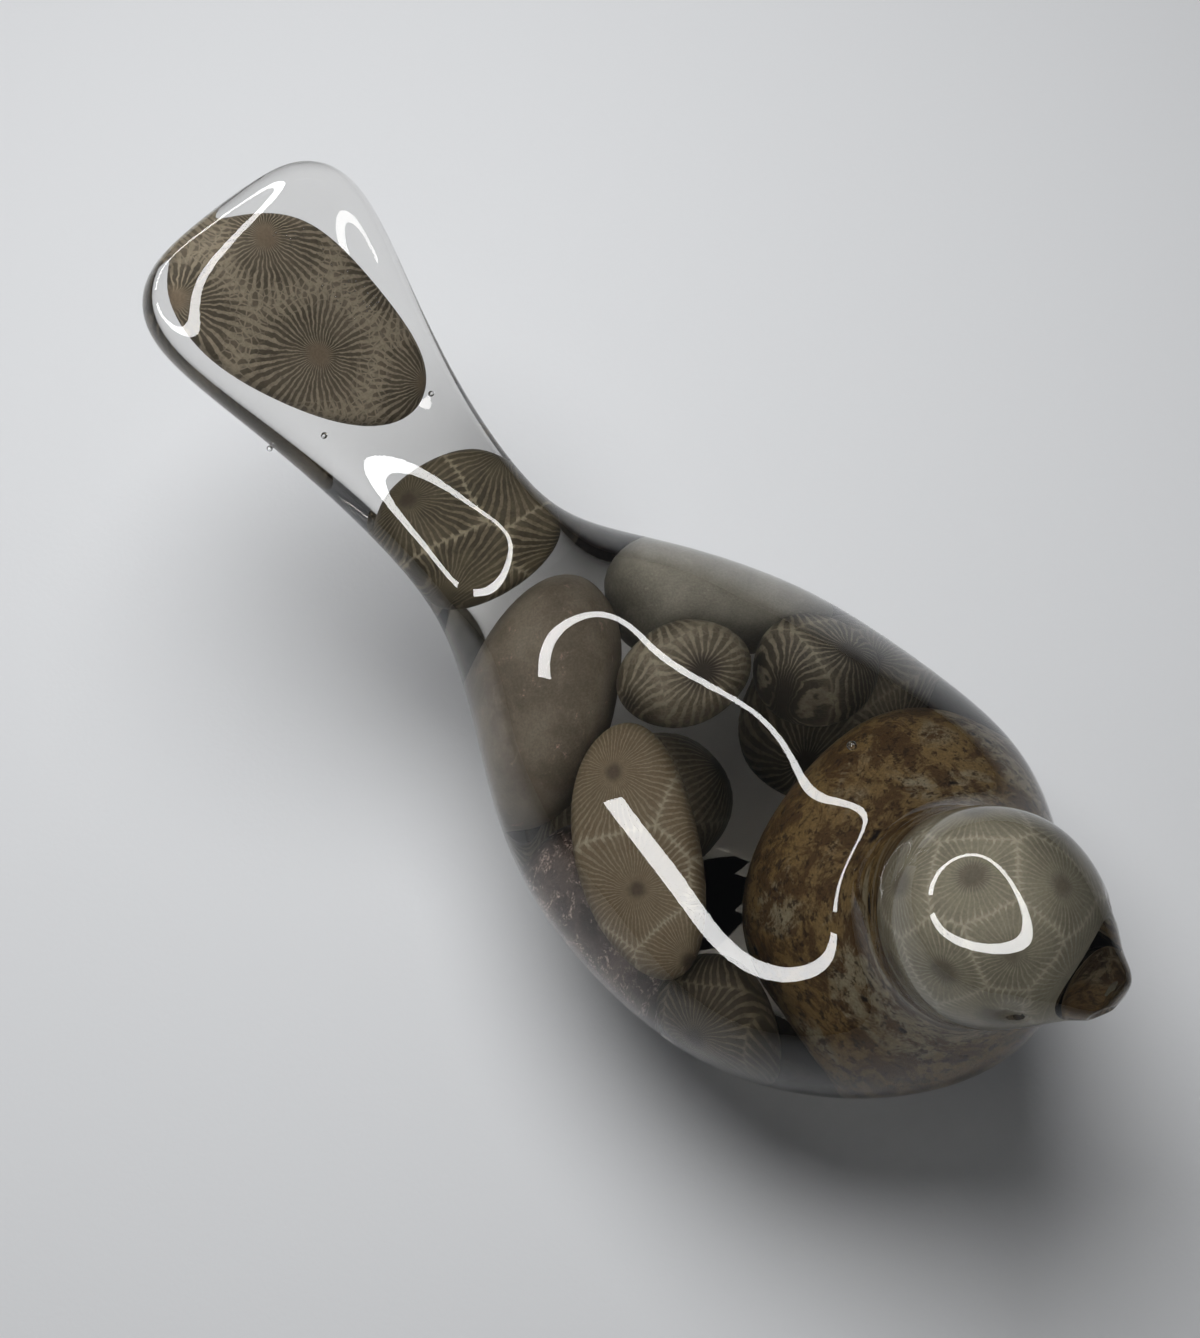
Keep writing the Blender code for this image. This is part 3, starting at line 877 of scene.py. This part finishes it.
class StoneSettings(bpy.types.PropertyGroup):
    roughness: bpy.props.FloatProperty(
        name="Roughness", description="Roughness of the stones",
        default=0.55, min=0.0, max=1.0)
    wall_width: bpy.props.FloatProperty(
        name="Wall width", description="Width of the pale lines between corallites",
        default=0.0005, unit="LENGTH", min=0.0)
    subdivision: bpy.props.IntProperty(
        name="Smoothness", description="Subdivision of the stones",
        default=2, min=0, max=4)
    mottled_ochre: bpy.props.FloatVectorProperty(
        name="Ochre", description="Main colour of the mottled stone",
        default=(0.150, 0.098, 0.040), subtype="COLOR", size=3, min=0.0, max=1.0)
    mottled_brown: bpy.props.FloatVectorProperty(
        name="Brown", description="Brown blotches of the mottled stone",
        default=(0.065, 0.038, 0.016), subtype="COLOR", size=3, min=0.0, max=1.0)
    mottled_dark: bpy.props.FloatVectorProperty(
        name="Dark", description="Dark speckles of the mottled stone",
        default=(0.022, 0.014, 0.008), subtype="COLOR", size=3, min=0.0, max=1.0)
    mottled_pale: bpy.props.FloatVectorProperty(
        name="Pale", description="Pale patches of the mottled stone",
        default=(0.205, 0.172, 0.115), subtype="COLOR", size=3, min=0.0, max=1.0)
    # Painted shade inside the mottled stone's pores, for the shade that falls in the holes
    mottled_pore_painted_shade: bpy.props.FloatVectorProperty(
        name="Pore", description="Colour inside the pores of the mottled stone",
        default=(0.010, 0.006, 0.004), subtype="COLOR", size=3, min=0.0, max=1.0)


class BubbleSettings(bpy.types.PropertyGroup):
    density: bpy.props.FloatProperty(
        name="Density", description="Fine bubbles for each square metre of the sheet",
        default=1800000.0, min=0.0)
    smallest: bpy.props.FloatProperty(
        name="Smallest", description="Radius of the smallest fine bubble",
        default=0.00003, unit="LENGTH", min=0.0)
    largest: bpy.props.FloatProperty(
        name="Largest", description="Radius of the largest fine bubble",
        default=0.00012, unit="LENGTH", min=0.0)
    seed: bpy.props.IntProperty(
        name="Seed", description="Seed of the scatter", default=4, min=0)


class StageSettings(bpy.types.PropertyGroup):
    floor_size: bpy.props.FloatProperty(
        name="Paper size", description="Length of the paper floor's side",
        default=1.6, unit="LENGTH")
    paper_colour: bpy.props.FloatVectorProperty(
        name="Paper colour", description="Colour of the paper floor",
        default=(0.72, 0.73, 0.745), subtype="COLOR", size=3, min=0.0, max=1.0)
    room_colour: bpy.props.FloatVectorProperty(
        name="Room colour", description="Colour of the room around the stage",
        default=(0.80, 0.84, 0.90), subtype="COLOR", size=3, min=0.0, max=1.0)
    room_strength: bpy.props.FloatProperty(
        name="Room strength", description="Brightness of the room", default=0.06)
    soft_power: bpy.props.FloatProperty(
        name="Soft light power", description="Power of the large soft light",
        default=1.06, unit="POWER")
    soft_size: bpy.props.FloatProperty(
        name="Soft light size", description="Diameter of the large soft light",
        default=0.26, unit="LENGTH")
    soft_distance: bpy.props.FloatProperty(
        name="Soft light distance", description="How far off the soft light is",
        default=0.33, unit="LENGTH")
    soft_direction: bpy.props.FloatVectorProperty(
        name="Soft light direction", description="Where the soft light comes from",
        default=(-0.33, 0.06, 0.94), subtype="XYZ", size=3)
    lamp_direction: bpy.props.FloatVectorProperty(
        name="Ring lamp direction", description="Where the ring lamp is, seen from the bird",
        default=(-0.283, -0.28, 0.917), subtype="XYZ", size=3)
    lamp_distance: bpy.props.FloatProperty(
        name="Ring lamp distance", description="How far off the ring lamp is",
        default=0.30, unit="LENGTH")
    lamp_radius: bpy.props.FloatProperty(
        name="Ring lamp radius", description="Radius of the ring lamp",
        default=0.26, unit="LENGTH")
    lamp_width: bpy.props.FloatProperty(
        name="Ring lamp width", description="Width of the glowing band",
        default=0.050, unit="LENGTH")
    lamp_unevenness: bpy.props.FloatProperty(
        name="Ring lamp unevenness", description="How much wider the band is on the bird's right",
        default=0.45, min=0.0, max=0.9)
    lamp_gap: bpy.props.FloatProperty(
        name="Ring lamp gap", description="Angle left open in the ring, in degrees",
        default=26.0)
    lamp_gap_turn: bpy.props.FloatProperty(
        name="Ring lamp gap turn", description="Where the gap is round the ring, in degrees",
        default=180.0)
    lamp_strength: bpy.props.FloatProperty(
        name="Ring lamp strength", description="Brightness of the ring lamp", default=14.0)
    camera_azimuth: bpy.props.FloatProperty(
        name="Camera azimuth", description="Turn of the camera round the bird",
        default=math.radians(46.0), subtype="ANGLE")
    camera_elevation: bpy.props.FloatProperty(
        name="Camera elevation", description="Height angle of the camera",
        default=math.radians(63.8), subtype="ANGLE")
    camera_roll: bpy.props.FloatProperty(
        name="Camera roll", description="Roll of the camera",
        default=math.radians(-1.0), subtype="ANGLE")
    camera_distance: bpy.props.FloatProperty(
        name="Camera distance", description="Distance of the camera from its target",
        default=0.2605, unit="LENGTH")
    camera_target: bpy.props.FloatVectorProperty(
        name="Camera target", description="Point the camera looks at",
        default=(-0.0042, 0.0003, 0.025), subtype="XYZ", size=3, unit="LENGTH")
    camera_lens: bpy.props.FloatProperty(
        name="Camera lens", description="Focal length in millimetres", default=62.42)


# Operators

class RESINBIRD_OT_body(bpy.types.Operator):
    """Makes the clear resin body"""

    bl_idname = "resinbird.body"
    bl_label = "Make resin body"

    def execute(self, context):
        make_resin_body(context.scene.resinbird_resin)
        return {"FINISHED"}


class RESINBIRD_OT_coral_stones(bpy.types.Operator):
    """Makes the fossil coral stones"""

    bl_idname = "resinbird.coral_stones"
    bl_label = "Make coral stones"

    def execute(self, context):
        settings = context.scene.resinbird_stones
        for name in CORAL_STONES:
            stone = stone_copy(name, settings.subdivision)
            finish_stone(stone, name, coral_material(name, settings))
        return {"FINISHED"}


class RESINBIRD_OT_pebbles(bpy.types.Operator):
    """Makes the plain and speckled pebbles"""

    bl_idname = "resinbird.pebbles"
    bl_label = "Make pebbles"

    def execute(self, context):
        settings = context.scene.resinbird_stones
        for name in PEBBLES:
            stone = stone_copy(name, settings.subdivision)
            finish_stone(stone, name, pebble_material(name, settings))
        return {"FINISHED"}


class RESINBIRD_OT_mottled_stone(bpy.types.Operator):
    """Makes the rough mottled stone"""

    bl_idname = "resinbird.mottled_stone"
    bl_label = "Make mottled stone"

    def execute(self, context):
        settings = context.scene.resinbird_stones
        stone = stone_copy("mottled_stone", settings.subdivision)
        finish_stone(stone, "mottled_stone", mottled_material(settings))
        return {"FINISHED"}


class RESINBIRD_OT_bubbles(bpy.types.Operator):
    """Makes the air bubbles in the resin"""

    bl_idname = "resinbird.bubbles"
    bl_label = "Make bubbles"

    def execute(self, context):
        settings = context.scene.resinbird_bubbles
        material = bubble_material()
        for number, (x, y, z, radius) in enumerate(LARGE_BUBBLES, 1):
            name = f"bubble_{number}"
            mesh = ball_mesh(name, placed((x, y, z)), radius * MM)
            smooth(mesh)
            mesh.materials.append(material)
            bubble = link(bpy.data.objects.new(name, mesh))
            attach(bubble, "root")
        values = {
            "Density": settings.density,
            "Smallest": settings.smallest,
            "Largest": settings.largest,
            "Depth": BUBBLE_RISE * MM,
            "Seed": settings.seed,
        }
        scatter_bubbles("tail_fine_bubbles", BUBBLE_SHEET, values, material)
        return {"FINISHED"}


class RESINBIRD_OT_stage(bpy.types.Operator):
    """Makes the floor, lights, room and camera"""

    bl_idname = "resinbird.stage"
    bl_label = "Make stage"

    def execute(self, context):
        settings = context.scene.resinbird_stage
        make_camera(settings)
        make_world(settings)
        make_floor(settings)
        make_soft_light(settings)
        make_ring_lamp(settings)
        return {"FINISHED"}


class RESINBIRD_PT_panel(bpy.types.Panel):
    bl_idname = "RESINBIRD_PT_panel"
    bl_label = "Resin Bird"
    bl_space_type = "VIEW_3D"
    bl_region_type = "UI"
    bl_category = "Resin Bird"

    def draw(self, context):
        for operator in OPERATORS:
            self.layout.operator(operator.bl_idname)
        for group in SETTINGS:
            settings = getattr(context.scene, group)
            box = self.layout.box()
            for field in settings.__annotations__:
                box.prop(settings, field)


OPERATORS = (
    RESINBIRD_OT_stage,
    RESINBIRD_OT_body,
    RESINBIRD_OT_coral_stones,
    RESINBIRD_OT_pebbles,
    RESINBIRD_OT_mottled_stone,
    RESINBIRD_OT_bubbles,
)
SETTINGS = {
    "resinbird_resin": ResinSettings,
    "resinbird_stones": StoneSettings,
    "resinbird_bubbles": BubbleSettings,
    "resinbird_stage": StageSettings,
}


def register():
    for name, group in SETTINGS.items():
        bpy.utils.register_class(group)
        setattr(bpy.types.Scene, name, bpy.props.PointerProperty(type=group))
    for operator in OPERATORS:
        bpy.utils.register_class(operator)
    bpy.utils.register_class(RESINBIRD_PT_panel)


def unregister():
    bpy.utils.unregister_class(RESINBIRD_PT_panel)
    for operator in reversed(OPERATORS):
        bpy.utils.unregister_class(operator)
    for name, group in reversed(SETTINGS.items()):
        delattr(bpy.types.Scene, name)
        bpy.utils.unregister_class(group)


def write_sizes():
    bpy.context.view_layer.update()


def main():
    register()
    bpy.ops.resinbird.stage()
    bpy.ops.resinbird.body()
    bpy.ops.resinbird.coral_stones()
    bpy.ops.resinbird.pebbles()
    bpy.ops.resinbird.mottled_stone()
    bpy.ops.resinbird.bubbles()
    write_sizes()


if __name__ == "__main__":
    main()
